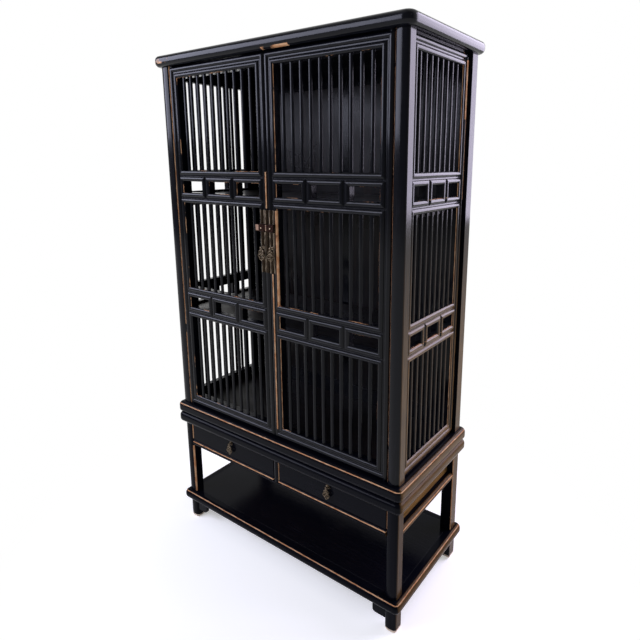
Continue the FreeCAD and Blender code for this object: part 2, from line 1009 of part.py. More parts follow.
def drawer_runners():
    """Bearers for the drawers, from the front rail to the back rail."""
    body = new_body("drawer_runners")
    sketch = plan(body, size.rail_height)
    near = front + size.rail_deep
    far = back - size.rail_deep
    side = half_width - size.rail_deep
    inner = side - size.runner_wide / 2
    middle = size.runner_wide / 2
    outline(sketch, rectangle(-middle, middle, near, far))
    outline(sketch, side_runner(inner, side, near, far))
    outline(sketch, mirrored(side_runner(inner, side, near, far)))
    pad(body, sketch, size.rail_tall)
    keep(body, "drawer_runners")


def side_runner(inner, side, near, far):
    """A runner in plan, stepped round the front and rear legs."""
    return [
        (inner, near),
        (post_inside, near),
        (post_inside, front_post_back),
        (side, front_post_back),
        (side, rear_post_front),
        (post_inside, rear_post_front),
        (post_inside, far),
        (inner, far),
    ]


def base_shelf():
    """The low shelf: four members and a panel, fitted round the legs."""
    body = new_body("base_shelf_frame")
    wide = size.shelf_member
    thick = size.shelf_thick
    half_x, half_y = nosed_frame(
        body, size.shelf_height, thick, size.bead_overhang, wide, size.bead_corner, size.bead_nose
    )
    reach_x = half_x - wide + size.panel_ledge
    reach_y = half_y - wide + size.panel_ledge
    seat = rectangle(-reach_x, reach_x, -reach_y, reach_y)
    cut_from_above(body, [seat], shelf_top, size.panel_thick)
    holes = [front_post_outline(), rear_post_outline()]
    holes = holes + [mirrored(corners) for corners in holes]
    cut_from_above(body, holes, shelf_top, thick + size.overrun)
    split_frame(body, half_x, half_y, wide, size.shelf_height, thick)
    keep(body, "base_shelf_frame")
    panel = new_body("base_shelf_panel")
    sketch = plan(panel, shelf_top - size.panel_thick)
    outline(sketch, panel_seat(half_x, half_y, wide, size.panel_play))
    pad(panel, sketch, size.panel_thick)
    cut_from_above(panel, holes, shelf_top, size.panel_thick + size.overrun)
    keep(panel, "base_shelf_panel")


def bracket_spandrels():
    """A small bracket with a rounded corner in each front corner under the low shelf."""
    body = new_body("bracket_spandrels")
    sketch = elevation(body, front + size.spandrel_set_back)
    tip = post_inside - size.spandrel_long
    foot = size.shelf_height - size.spandrel_tall
    corner = size.spandrel_corner
    corners = [
        (tip, size.shelf_height),
        (tip, foot + corner, corner, LEFT),
        (tip + corner, foot),
        (post_inside, foot),
        (post_inside, size.shelf_height),
    ]
    outline(sketch, corners)
    outline(sketch, mirrored(corners))
    pad(body, sketch, size.spandrel_thick, backwards=True)
    keep(body, "bracket_spandrels")


# Doors

door_wide = post_inside - size.hinge_gap - size.meeting_gap / 2


def place_door(piece, hand):
    """Hangs a door's piece in its opening: drawn from the door's left edge."""
    left_edge = size.meeting_gap / 2 if hand > 0 else -(post_inside - size.hinge_gap)
    move_to(piece, left_edge, front + size.door_set_back)
    return piece


def pintles(body, across):
    """The round pins at the foot and head of the hinge stile."""
    inside = member
    for face, backwards, inner in ((door_foot, True, 1), (door_head, False, -1)):
        gap = size.door_foot_gap if inner > 0 else size.door_head_gap
        sketch = plan(body, face + inside * inner)
        round_outline(sketch, across, size.pintle_set, size.pintle_radius)
        pad(body, sketch, inside + gap + size.pintle_long, backwards)


def door(name, hand):
    thick = size.door_thick
    hinge_start = door_wide - member if hand > 0 else ZERO
    meeting_start = ZERO if hand > 0 else door_wide - member
    hinge_across = door_wide - size.pintle_set if hand > 0 else size.pintle_set
    hinge_stile = new_body(name + "_hinge_stile")
    stile(hinge_stile, hinge_start, -hand, thick)
    pintles(hinge_stile, hinge_across)
    keep(place_door(hinge_stile, hand), name + "_hinge_stile")
    meeting_stile = new_body(name + "_meeting_stile")
    stile(meeting_stile, meeting_start, hand, thick)
    keep(place_door(meeting_stile, hand), name + "_meeting_stile")
    ends = new_body(name + "_end_rails")
    end_rails(ends, door_wide, thick)
    sketch = plan(ends, door_head + size.overrun)
    round_outline(sketch, hinge_across, size.pintle_set, size.pintle_radius + size.fit_play)
    pocket(ends, sketch, door_head - door_foot + size.overrun * 2)
    keep(place_door(ends, hand), name + "_end_rails")
    rails = new_body(name + "_band_rails")
    band_rails(rails, door_wide, thick)
    keep(place_door(rails, hand), name + "_band_rails")
    uprights = new_body(name + "_band_uprights")
    band_uprights(uprights, door_wide, thick)
    keep(place_door(uprights, hand), name + "_band_uprights")
    bars = new_body(name + "_slats")
    slats(bars, door_wide, size.door_slats)
    keep(place_door(bars, hand), name + "_slats")


# Lock and pulls of the doors

door_face = front + size.door_set_back
stile_middle = size.meeting_gap / 2 + half_member
plate_face = door_face - size.plate_play - size.plate_thick
bar_back = plate_face - size.bar_lift
bar_front = bar_back - size.bar_thick
plate_low = middle_section_foot + size.plate_lift
staple_level = plate_low + size.staple_lift
door_pin_level = plate_low + size.door_pin_lift


def face_plate(name, hand):
    """A thin plate that follows the beads of the meeting stile, as far as the second one's crown."""
    body = new_body(name + "_face_plate")
    rear = door_face + size.bead_rise - size.plate_play
    near = rear - size.plate_thick
    start = size.meeting_gap / 2
    first_end = start + size.bead
    second_start = first_end + size.bead_groove
    crown = second_start + size.bead / 2
    corners = [
        (start, near, bead_radius, LEFT),
        (first_end, near),
        (second_start, near, bead_radius, LEFT),
        (crown, near - size.bead_rise),
        (crown, rear - size.bead_rise, bead_radius, RIGHT),
        (second_start, rear),
        (first_end, rear, bead_radius, RIGHT),
        (start, rear),
    ]
    sketch = plan(body, plate_low)
    outline(sketch, corners if hand > 0 else mirrored(corners))
    pad(body, sketch, size.plate_tall)
    keep(body, name + "_face_plate")


def staple(name, hand):
    """A strap over the lock bar, with shoulders, two feet on the plate and a boss."""
    body = new_body(name + "_staple")
    middle = stile_middle * hand
    inner = size.bar_tall / 2 + size.bar_play
    outer = inner + size.strap_thick
    height = staple_level
    strap_back = bar_front - size.bar_play
    strap_front = strap_back - size.strap_thick
    shoulder = size.strap_shoulder
    sketch = section(body, middle - size.staple_wide / 2)
    outline(sketch, [
        (plate_face, height - outer),
        (plate_face, height - inner),
        (strap_back, height - inner),
        (strap_back, height + inner),
        (plate_face, height + inner),
        (plate_face, height + outer),
        (strap_front + shoulder, height + outer),
        (strap_front, height + outer - shoulder),
        (strap_front, height - outer + shoulder),
        (strap_front + shoulder, height - outer),
    ])
    pad(body, sketch, size.staple_wide)
    sketch = elevation(body, strap_front)
    round_outline(sketch, middle, height, size.boss_radius)
    pad(body, sketch, size.boss_proud)
    keep(body, name + "_staple")


def lock_bar():
    """The flat bar that slides through the left staple into the right one."""
    body = new_body("lock_bar")
    low = staple_level - size.bar_tall / 2
    high = staple_level + size.bar_tall / 2
    edge = size.bar_edge
    sketch = section(body, -(size.bar_long + size.bar_tip_gap))
    outline(sketch, [
        (bar_back, low),
        (bar_back, high),
        (bar_front + edge, high),
        (bar_front, high - edge),
        (bar_front, low + edge),
        (bar_front + edge, low),
    ])
    pad(body, sketch, size.bar_long)
    keep(body, "lock_bar")


def eye_on_post(body, across, pin_along, pin_level, foot_along, collar_along):
    """A stem with a collar, and an eye for the drop's pin at its end."""
    sketch = elevation(body, foot_along)
    round_outline(sketch, across, pin_level, size.post_radius)
    pad(body, sketch, foot_along - pin_along - size.pin_radius - size.lug_gap)
    sketch = elevation(body, collar_along)
    round_outline(sketch, across, pin_level, size.collar_radius)
    pad(body, sketch, size.collar_thick)
    sketch = section(body, across - size.eye_wide / 2)
    round_outline(sketch, pin_along, pin_level, size.eye_radius)
    pad(body, sketch, size.eye_wide)
    sketch = section(body, across - size.eye_wide / 2 - size.overrun)
    round_outline(sketch, pin_along, pin_level, size.pin_radius + size.pin_play)
    pocket(body, sketch, size.eye_wide + size.overrun * 2, backwards=True)


def drop(body, across, pin_along, pin_level, upper, lower, long):
    """A pierced drop of two round lobes, hung by a pin between two lugs."""
    half_eye = size.eye_wide / 2 + size.lug_gap
    half_top = half_eye + size.lug_wide
    face = pin_along - size.drop_thick / 2
    clear = size.eye_radius + size.drop_clear
    upper_middle = pin_level - clear - upper
    lower_middle = pin_level - long + lower
    for radius, middle in ((upper, upper_middle), (lower, lower_middle)):
        sketch = elevation(body, face)
        round_outline(sketch, across, middle, radius)
        pad(body, sketch, size.drop_thick, backwards=True)
    for start in (across - half_top, across + half_eye):
        sketch = section(body, start)
        round_outline(sketch, pin_along, pin_level, size.lug_radius)
        pad(body, sketch, size.lug_wide)
        sketch = elevation(body, face)
        outline(sketch, rectangle(start, start + size.lug_wide, upper_middle, pin_level))
        pad(body, sketch, size.drop_thick, backwards=True)
    sketch = section(body, across - half_top)
    round_outline(sketch, pin_along, pin_level, size.pin_radius)
    pad(body, sketch, half_top * 2)
    sketch = elevation(body, face - size.overrun)
    upper_hole_share = 0.34
    round_outline(sketch, across, upper_middle, upper * upper_hole_share)
    pierce_ring(sketch, across, lower_middle, lower)
    pocket(body, sketch, size.drop_thick + size.overrun * 2)


def pierce_ring(sketch, across, middle, lobe):
    """Five round holes in a ring about a lobe's middle, the first one straight below it."""
    count = 5
    hole_share = 0.22
    ring_share = 0.56
    for index in range(count):
        angle = 2 * math.pi * index / count
        round_outline(
            sketch,
            across + lobe * (ring_share * math.sin(angle)),
            middle - lobe * (ring_share * math.cos(angle)),
            lobe * hole_share,
        )


def door_pull(name, hand):
    across = stile_middle * hand
    pin_along = plate_face - size.door_pin_reach
    foot = door_face + size.bead_rise - size.plate_play - size.plate_thick
    post = new_body(name + "_pull_post")
    eye_on_post(post, across, pin_along, door_pin_level, foot, plate_face)
    keep(post, name + "_pull_post")
    plaque = new_body(name + "_drop_pull")
    drop(
        plaque, across, pin_along, door_pin_level,
        size.door_drop_upper, size.door_drop_lower, size.door_drop_long,
    )
    keep(plaque, name + "_drop_pull")


# Drawers

drawer_face = front + size.drawer_set_back


def drawer(name, hand):
    near_edge = size.divider_wide / 2 + size.drawer_gap
    far_edge = post_inside - size.drawer_gap
    low_x, high_x = (near_edge, far_edge) if hand > 0 else (-far_edge, -near_edge)
    low = rail_top + size.drawer_gap
    high = stand_frame_low - size.drawer_gap
    front_back = drawer_face + size.drawer_front_thick
    keep(board(name + "_front", low_x, high_x, drawer_face, front_back, low, high), name + "_front")
    box = new_body(name + "_box")
    foot = rail_top + size.runner_play
    left = low_x + size.drawer_side_inset
    right = high_x - size.drawer_side_inset
    side = size.drawer_side_thick
    rear = drawer_face + size.drawer_long
    sketch = plan(box, foot)
    outline(sketch, rectangle(left, left + side, front_back, rear))
    outline(sketch, rectangle(right - side, right, front_back, rear))
    inner_left = left + side + size.fit_play
    inner_right = right - side - size.fit_play
    outline(sketch, rectangle(inner_left, inner_right, rear - side, rear))
    pad(box, sketch, high - size.drawer_side_drop - foot)
    keep(box, name + "_box")
    bottom_low = foot + size.drawer_bottom_lift
    bottom = board(
        name + "_bottom", left + side, right - side, front_back, rear - side,
        bottom_low, bottom_low + size.drawer_bottom_thick,
    )
    keep(bottom, name + "_bottom")


def drawer_pull(name, hand):
    across = size.drawer_pull_place * hand
    plate_front = drawer_face - size.collar_thick
    pin_along = plate_front - size.drawer_pin_reach
    level = rail_top + size.drawer_pin_lift
    mount = new_body(name + "_pull_mount")
    sketch = elevation(mount, drawer_face)
    round_outline(sketch, across, level, size.drawer_plate_radius)
    pad(mount, sketch, size.collar_thick)
    eye_on_post(mount, across, pin_along, level, drawer_face, plate_front)
    keep(mount, name + "_pull_mount")
    plaque = new_body(name + "_drop")
    drop(
        plaque, across, pin_along, level,
        size.drawer_drop_upper, size.drawer_drop_lower, size.drawer_drop_long,
    )
    keep(plaque, name + "_drop")


def build():
    cabinet_top()
    cabinet_posts(front_post_outline(), tenon_outline(front, front_post_back), "front_posts")
    cabinet_posts(rear_post_outline(), tenon_outline(rear_post_front, back), "rear_posts")
    cabinet_floor()
    cabinet_side("left_side", -1)
    cabinet_side("right_side", 1)
    cabinet_back()
    inner_shelves()
    stand_top()
    stand_legs(front_post_outline(), tenon_outline(front, front_post_back), "front_legs")
    stand_legs(rear_post_outline(), tenon_outline(rear_post_front, back), "rear_legs")
    drawer_rail()
    drawer_divider()
    stand_rails()
    stand_aprons()
    drawer_runners()
    base_shelf()
    bracket_spandrels()
    for side, hand in (("left", -1), ("right", 1)):
        door(side + "_door", hand)
        face_plate(side + "_door", hand)
        staple(side + "_door", hand)
        door_pull(side + "_door", hand)
        drawer(side + "_drawer", hand)
        drawer_pull(side + "_drawer", hand)
    lock_bar()


def check():
    """Stops if anything in the document failed."""
    document.recompute()
    failed = [thing.Name for thing in document.Objects if {"Invalid", "Error"} & set(thing.State)]
    if failed:
        raise RuntimeError(f"failed: {failed}")
    for piece in NODES:
        if piece.Shape.isNull() or not piece.Shape.isValid():
            raise RuntimeError(f"bad shape: {piece.Label}")


def write():
    os.makedirs("parts", exist_ok=True)
    for piece in NODES:
        piece.Shape.exportStep(os.path.join("parts", piece.Label + ".step"))
        print(piece.Label, len(piece.Shape.Solids), "solids", round(piece.Shape.Volume), "mm3")
    print(len(NODES), "pieces")


build()
check()
write()
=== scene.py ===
"""The looks of the book cabinet: its lacquer and bronze, its cast pulls, the light and the camera."""

import json
import math

import bmesh
import bpy
from mathutils import Matrix, Vector


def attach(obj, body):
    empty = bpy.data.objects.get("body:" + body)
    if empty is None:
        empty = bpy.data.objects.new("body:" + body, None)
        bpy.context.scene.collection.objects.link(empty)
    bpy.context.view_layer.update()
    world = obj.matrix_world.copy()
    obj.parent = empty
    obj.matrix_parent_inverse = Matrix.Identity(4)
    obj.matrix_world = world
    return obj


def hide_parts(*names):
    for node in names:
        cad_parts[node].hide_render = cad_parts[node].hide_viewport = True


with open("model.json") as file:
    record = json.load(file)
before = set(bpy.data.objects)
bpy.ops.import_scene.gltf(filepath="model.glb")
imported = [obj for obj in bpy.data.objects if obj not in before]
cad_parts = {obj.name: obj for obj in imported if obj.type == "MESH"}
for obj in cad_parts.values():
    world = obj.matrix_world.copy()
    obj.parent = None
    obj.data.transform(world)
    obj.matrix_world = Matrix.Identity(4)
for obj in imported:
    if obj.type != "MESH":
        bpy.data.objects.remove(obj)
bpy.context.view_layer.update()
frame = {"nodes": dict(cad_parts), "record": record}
joints = {joint["name"]: joint for joint in frame["record"]["behaviour"]["joints"]}

MM = 0.001
X, Y, Z = 0, 1, 2
LEFT_OR_RIGHT = 3

# Colours, as linear light

WHITE = (1, 1, 1)
BLACK_LACQUER = (0.0018, 0.0021, 0.0042)
FADED_LACQUER = (0.0062, 0.0062, 0.0098)
# The brown of the lower outer sides: a painted reflection of a warm floor, with streaks of thin lacquer
BROWN_LACQUER_AND_REFLECTION = (0.23, 0.122, 0.038)
CREAM_WOOD = (0.72, 0.60, 0.47)
WORN_WOOD = (0.38, 0.15, 0.055)
# The pale worn wood also paints the highlight on the worn arrises
PALE_WORN_WOOD_AND_HIGHLIGHT = (0.62, 0.39, 0.23)
INNER_LACQUER = (0.005, 0.0045, 0.006)
INNER_BROWN = (0.014, 0.009, 0.007)
DRAWER_WOOD = (0.30, 0.17, 0.085)
DRAWER_WOOD_DARK = (0.17, 0.088, 0.04)
BRONZE = (0.085, 0.058, 0.034)
PLATE_BRONZE = (0.034, 0.02, 0.012)
# Rubbed bronze, which on the plates' crowns and the staples' bosses also paints the highlight
BRONZE_RUBBED_AND_HIGHLIT = (0.52, 0.41, 0.29)
PATINA = (0.022, 0.02, 0.015)
PALE_BRONZE = (0.34, 0.22, 0.16)
PALE_BRONZE_DARK = (0.14, 0.08, 0.055)
# The staples' near-black bronze partly paints the shade around them
DARK_BRONZE_AND_SHADE = (0.018, 0.007, 0.005)
PALE_FLOOR = (0.93, 0.93, 0.93)
PALE_FLOOR_SPECKS = (0.90, 0.90, 0.90)
VIOLET_LIGHT = (0.84, 0.77, 1.0)
BLUE_LIGHT = (0.77, 0.79, 1.0)


# Shader nodes


def add(tree, kind, settings=None, **inputs):
    """A new node. Its inputs are named with underscores for spaces, and take sockets or constants."""
    made = tree.nodes.new(kind)
    for name, value in (settings or {}).items():
        setattr(made, name, value)
    for name, value in inputs.items():
        join(tree, value, made.inputs[name.replace("_", " ")])
    return made


def join(tree, value, socket):
    """Links a socket to the input, or sets the input to a constant."""
    if isinstance(value, bpy.types.NodeSocket):
        tree.links.new(value, socket)
    elif isinstance(value, tuple) and len(socket.default_value) > len(value):
        socket.default_value = (*value, 1)
    else:
        socket.default_value = value


def calc(tree, operation, *values):
    """The result of a math node."""
    made = tree.nodes.new("ShaderNodeMath")
    made.operation = operation
    for value, socket in zip(values, made.inputs):
        join(tree, value, socket)
    return made.outputs[0]


def times(tree, first, *others):
    """The product of the values."""
    for other in others:
        first = calc(tree, "MULTIPLY", first, other)
    return first


def plus(tree, first, *others):
    """The sum of the values."""
    for other in others:
        first = calc(tree, "ADD", first, other)
    return first


def length_of(tree, first, second):
    """The length of a flat vector with these coordinates."""
    squares = plus(tree, times(tree, first, first), times(tree, second, second))
    return calc(tree, "SQRT", squares)


def scaled(tree, vector, scale):
    """The vector with each coordinate multiplied by the scale's."""
    made = tree.nodes.new("ShaderNodeVectorMath")
    made.operation = "MULTIPLY"
    join(tree, vector, made.inputs[0])
    join(tree, scale, made.inputs[1])
    return made.outputs[0]


def noise(tree, vector, scale, detail=3, rough=0.5):
    """A cloudy pattern of numbers about 0.5, finer with a larger scale."""
    made = add(tree, "ShaderNodeTexNoise", Vector=vector, Scale=scale, Detail=detail, Roughness=rough)
    return made.outputs[0]


def between(tree, value, low, high, first=0, last=1):
    """A smooth step from first to last as the value goes from low to high."""
    made = add(
        tree, "ShaderNodeMapRange", {"interpolation_type": "SMOOTHSTEP"},
        Value=value, From_Min=low, From_Max=high, To_Min=first, To_Max=last,
    )
    return made.outputs[0]


def mixed(tree, factor, first, second, kind="RGBA"):
    """The first colour, number or vector where the factor is 0, the second where it is 1."""
    made = tree.nodes.new("ShaderNodeMix")
    made.data_type = kind
    sockets = [socket for socket in made.inputs if socket.enabled]
    for value, socket in zip((factor, first, second), sockets):
        join(tree, value, socket)
    return next(socket for socket in made.outputs if socket.enabled)


def parts_of(tree, vector):
    """The three coordinates of a vector."""
    made = add(tree, "ShaderNodeSeparateXYZ", Vector=vector)
    return list(made.outputs)


def place_on(tree):
    """The place on the object, which is its place in the cabinet at rest, in metres."""
    return add(tree, "ShaderNodeTexCoord").outputs["Object"]


def facing_of(tree):
    """The direction that the surface faces."""
    return add(tree, "ShaderNodeTexCoord").outputs["Normal"]


def new_material(name):
    """A material, its node tree and its surface shader."""
    material = bpy.data.materials.new(name)
    material.use_nodes = True
    tree = material.node_tree
    return material, tree, tree.nodes["Principled BSDF"]


def finish_surface(tree, shader, colour, roughness, height, rise, edge_radius):
    """Joins colour and roughness, and a bump of that rise in metres over softened edges."""
    join(tree, colour, shader.inputs["Base Color"])
    join(tree, roughness, shader.inputs["Roughness"])
    soft = add(tree, "ShaderNodeBevel", {"samples": 6}, Radius=edge_radius)
    bump = add(tree, "ShaderNodeBump", Height=height, Distance=rise, Normal=soft.outputs[0])
    join(tree, bump.outputs[0], shader.inputs["Normal"])


# Which way the grain runs


def runs_along(tree, place, across, along, half_across, half_along, middle):
    """1 where a mitred frame's member runs along the second axis, 0 where it runs along the first."""
    sides = parts_of(tree, place)
    from_side = calc(tree, "SUBTRACT", half_across, calc(tree, "ABSOLUTE", sides[across]))
    centred = calc(tree, "SUBTRACT", sides[along], middle)
    from_end = calc(tree, "SUBTRACT", half_along, calc(tree, "ABSOLUTE", centred))
    return calc(tree, "LESS_THAN", from_side, from_end)


def grain_space(tree, place, grain):
    """The place, squeezed along the grain so that patterns stretch along it.

    The grain is an axis. For a mitred frame it is the frame's two axes, half its size along each, and its
    middle on the second.
    """
    squeeze = 0.045

    def along(axis):
        scale = [1.0, 1.0, 1.0]
        scale[axis] = squeeze
        return scaled(tree, place, tuple(scale))

    if isinstance(grain, int):
        return along(grain)
    first_axis, second_axis = grain[:2]
    second = runs_along(tree, place, *grain)
    return mixed(tree, second, along(first_axis), along(second_axis), "VECTOR")


# Lacquer and wood


def strip(tree, value, low, high):
    """1 where the value is between low and high millimetres, with soft borders."""
    soft = 0.9
    rise = between(tree, value, (low - soft) * MM, (low + soft) * MM)
    fall = between(tree, value, (high - soft) * MM, (high + soft) * MM, first=1, last=0)
    return times(tree, rise, fall)


def wear_and_highlight_share(tree, place, grain_place, zones, cover):
    """How far the lacquer is rubbed off in the zones, with a painted arris highlight: their borders are
    ragged, their length is in runs.

    A zone is a list of (axis, low, high) in millimetres. X is the distance from the middle, on both sides,
    and LEFT_OR_RIGHT is the place across on one side.
    """
    across, deep, up = parts_of(tree, place)
    values = {X: calc(tree, "ABSOLUTE", across), Y: deep, Z: up, LEFT_OR_RIGHT: across}
    inside = 0.0
    for zone in zones:
        strips = [strip(tree, values[axis], low, high) for axis, low, high in zone]
        inside = calc(tree, "MAXIMUM", inside, times(tree, *strips))
    raggedness = 1.1
    chips = calc(tree, "SUBTRACT", noise(tree, grain_place, scale=520, rough=0.65), 0.5)
    border_from, border_to = 0.42, 0.68
    worn = between(tree, plus(tree, inside, times(tree, chips, raggedness)), border_from, border_to)
    runs_from_uncovered, runs_for_cover, run_border = 0.78, 0.56, 0.08
    runs_from = runs_from_uncovered - cover * runs_for_cover
    lengths = noise(tree, place, scale=11, detail=4, rough=0.6)
    runs = between(tree, lengths, runs_from, runs_from + run_border)
    return times(tree, worn, runs)


def worn_wood_and_highlight(tree, place, grain_place):
    """The mottled wood that shows where the lacquer is rubbed off, partly pale as a painted arris highlight,
    cream at the ends of the feet.
    """
    pores = between(tree, noise(tree, grain_place, scale=1300, detail=2), 0.35, 0.65)
    patches = between(tree, noise(tree, place, scale=40), 0.4, 0.6)
    mottled = mixed(tree, 0.5, pores, patches, "FLOAT")
    wood = mixed(tree, mottled, WORN_WOOD, PALE_WORN_WOOD_AND_HIGHLIGHT)
    cream_to, cream_ends = 14 * MM, 20 * MM
    at_foot = between(tree, parts_of(tree, place)[Z], cream_to, cream_ends, first=1, last=0)
    return mixed(tree, at_foot, wood, CREAM_WOOD)


def thin_lacquer_and_reflection_share(tree, place, streaks):
    """How far the lower sides that face outwards turn brown, streaky: a painted reflection of a warm floor,
    with streaks of thin lacquer.
    """
    across = parts_of(tree, place)[X]
    up = parts_of(tree, place)[Z]
    outwards_x, outwards_y = parts_of(tree, facing_of(tree))[:2]
    sideways = times(tree, outwards_x, calc(tree, "SIGN", across))
    turned = calc(tree, "DIVIDE", sideways, length_of(tree, outwards_x, outwards_y))
    turned_from, turned_full = 0.75, 0.97
    upright_from, upright_full = 0.1, 0.35
    upright = between(tree, sideways, upright_from, upright_full)
    faces_out = times(tree, between(tree, turned, turned_from, turned_full), upright)
    side_from, side_full = 440 * MM, 460 * MM
    outside = between(tree, calc(tree, "ABSOLUTE", across), side_from, side_full)
    full_below, none_above = 750 * MM, 1400 * MM
    lower = between(tree, up, full_below, none_above, first=1, last=0)
    streaky = between(tree, streaks, 0.25, 0.7, first=0.35, last=1)
    return times(tree, lower, outside, faces_out, streaky)


def lacquer(name, grain, zones=(), cover=1.0, sides_brown=0.0, gloss=0.17):
    """Glossy black lacquer over wood.

    cover says how much of each worn zone's length is rubbed through, its pale wood also painting the arris
    highlights, sides_brown how brown the lower outer sides are, which is a painted reflection of a warm floor
    with streaks of thin lacquer, and gloss how strong the reflections are.
    """
    material, tree, shader = new_material(name)
    place = place_on(tree)
    grain_place = grain_space(tree, place, grain)
    streaks = noise(tree, grain_place, scale=260, detail=4, rough=0.6)
    fine = noise(tree, grain_place, scale=900, rough=0.6)
    clouds = noise(tree, place, scale=6, rough=0.55)
    dust = noise(tree, place, scale=1500, detail=2)

    # The lacquer's colour: black, greyer where it has been rubbed, and browner on the lower outer sides,
    # which is a painted reflection of a warm floor with streaks of thin lacquer
    faded_share = times(tree, between(tree, streaks, 0.5, 0.78), between(tree, clouds, 0.35, 0.7))
    colour = mixed(tree, faded_share, BLACK_LACQUER, FADED_LACQUER)
    if sides_brown:
        brown = times(tree, thin_lacquer_and_reflection_share(tree, place, streaks), sides_brown)
        colour = mixed(tree, brown, colour, BROWN_LACQUER_AND_REFLECTION)

    # Roughness and relief: cloudy handling marks, brushed streaks and fine dust
    handled = between(tree, clouds, 0.3, 0.7, first=0.05, last=0.11)
    brushed = plus(tree, times(tree, fine, 0.06), times(tree, streaks, 0.08))
    dusty = between(tree, dust, 0.62, 0.8, first=0, last=0.1)
    roughness = plus(tree, handled, brushed, dusty)
    height = plus(tree, times(tree, streaks, 0.7), times(tree, fine, 0.3))

    # The wood that shows where the edges are worn, partly pale as their painted highlight
    if zones:
        wear_and_highlight = wear_and_highlight_share(tree, place, grain_place, zones, cover)
        wood_roughness, wear_depth = 0.55, 0.9
        colour = mixed(tree, wear_and_highlight, colour, worn_wood_and_highlight(tree, place, grain_place))
        roughness = mixed(tree, wear_and_highlight, roughness, wood_roughness, "FLOAT")
        height = calc(tree, "SUBTRACT", height, times(tree, wear_and_highlight, wear_depth))
    shader.inputs["Specular IOR Level"].default_value = gloss
    finish_surface(tree, shader, colour, roughness, height, rise=0.27 * MM, edge_radius=1.2 * MM)
    return material


def inner_lacquer(name, grain):
    """The thinner, browner and duller lacquer of the inside."""
    material, tree, shader = new_material(name)
    place = place_on(tree)
    streaks = noise(tree, grain_space(tree, place, grain), scale=150, detail=5, rough=0.6)
    clouds = noise(tree, place, scale=5)
    colour = mixed(tree, between(tree, streaks, 0.4, 0.75), INNER_LACQUER, INNER_BROWN)
    roughness = between(tree, clouds, 0.3, 0.7, first=0.26, last=0.46)
    shader.inputs["Specular IOR Level"].default_value = 0.2
    finish_surface(tree, shader, colour, roughness, streaks, rise=0.25 * MM, edge_radius=1 * MM)
    return material


def bare_wood(name, grain):
    """The unfinished wood of the drawer boxes."""
    material, tree, shader = new_material(name)
    place = place_on(tree)
    grain_place = grain_space(tree, place, grain)
    bend = noise(tree, place, scale=4, detail=2)
    rings = add(
        tree, "ShaderNodeTexWave", {"bands_direction": "Z"},
        Vector=grain_place, Scale=34, Distortion=9, Detail=3, Phase_Offset=bend,
    )
    pores = noise(tree, grain_place, scale=1400, rough=0.6)
    colour = mixed(tree, times(tree, rings.outputs[0], 0.7), DRAWER_WOOD, DRAWER_WOOD_DARK)
    colour = mixed(tree, between(tree, pores, 0.55, 0.75, first=0, last=0.6), colour, DRAWER_WOOD_DARK)
    roughness = between(tree, pores, 0.3, 0.7, first=0.55, last=0.72)
    shader.inputs["Specular IOR Level"].default_value = 0.35
    finish_surface(tree, shader, colour, roughness, pores, rise=0.2 * MM, edge_radius=0.8 * MM)
    return material


# Bronze


def rubbed_and_highlit_crowns(tree, place, strength):
    """How bright what faces forward is rubbed and painted as a highlight, in upright streaks."""
    upright = (1.0, 1.0, 0.1)
    streaks = noise(tree, scaled(tree, place, upright), scale=500, rough=0.6)
    forward = times(tree, parts_of(tree, facing_of(tree))[Y], -1)
    crown_from, crown_full = 0.982, 0.999
    crown = between(tree, forward, crown_from, crown_full)
    return times(tree, crown, between(tree, streaks, 0.4, 0.65, first=0, last=strength))


def painted_highlight_spot(tree, place, spot_x, spot_z, radius):
    """How bright a round painted highlight is, on the left and on the right."""
    across = parts_of(tree, place)[X]
    off_x = calc(tree, "SUBTRACT", calc(tree, "ABSOLUTE", across), spot_x)
    off_z = calc(tree, "SUBTRACT", parts_of(tree, place)[Z], spot_z)
    away = length_of(tree, off_x, off_z)
    full_within, brightest = radius * 0.8, 0.9
    return between(tree, away, full_within, radius, first=brightest, last=0)


def metal(name, base, rubbed, dirt, rubbed_share, crowns=0.0, spot=None):
    """Old bronze.

    rubbed_share says how much of it is rubbed bright in specks, crowns how bright what faces forward is
    rubbed and painted as its highlight, and spot is the x, z and radius of a round painted highlight. The
    rubbed colour is also the colour of these painted highlights.
    """
    material, tree, shader = new_material(name)
    place = place_on(tree)
    grime = noise(tree, place, scale=420, detail=4, rough=0.65)
    pits = noise(tree, place, scale=1800, rough=0.6)
    specks = noise(tree, place, scale=700, rough=0.7)
    colour = mixed(tree, between(tree, grime, 0.38, 0.62, first=0, last=0.85), base, dirt)
    specks_from_plain, specks_for_share, speck_border = 0.66, 0.3, 0.1
    specks_from = specks_from_plain - rubbed_share * specks_for_share
    bright = between(tree, specks, specks_from, specks_from + speck_border)
    if crowns:
        bright = calc(tree, "MAXIMUM", bright, rubbed_and_highlit_crowns(tree, place, crowns))
    if spot:
        bright = calc(tree, "MAXIMUM", bright, painted_highlight_spot(tree, place, *spot))
    colour = mixed(tree, bright, colour, rubbed)
    dull = between(tree, grime, 0.3, 0.7, first=0.38, last=0.62)
    polished = 0.3
    roughness = mixed(tree, bright, dull, polished, "FLOAT")
    shader.inputs["Metallic"].default_value = 1.0
    height = plus(tree, pits, grime)
    finish_surface(tree, shader, colour, roughness, height, rise=0.16 * MM, edge_radius=0.4 * MM)
    return material


# The mitred frames: two axes, half the size along each, and the middle on the second axis, in metres

MITRED_PLAN = (X, Y, 0.52, 0.245, 0.0)
SIDE_FRAME = (Y, Z, 0.187, 0.636, 1.161)
BACK_FRAME = (X, Z, 0.458, 0.636, 1.161)

# Where the lacquer is worn through, in millimetres; its pale wood also paints the arris highlights

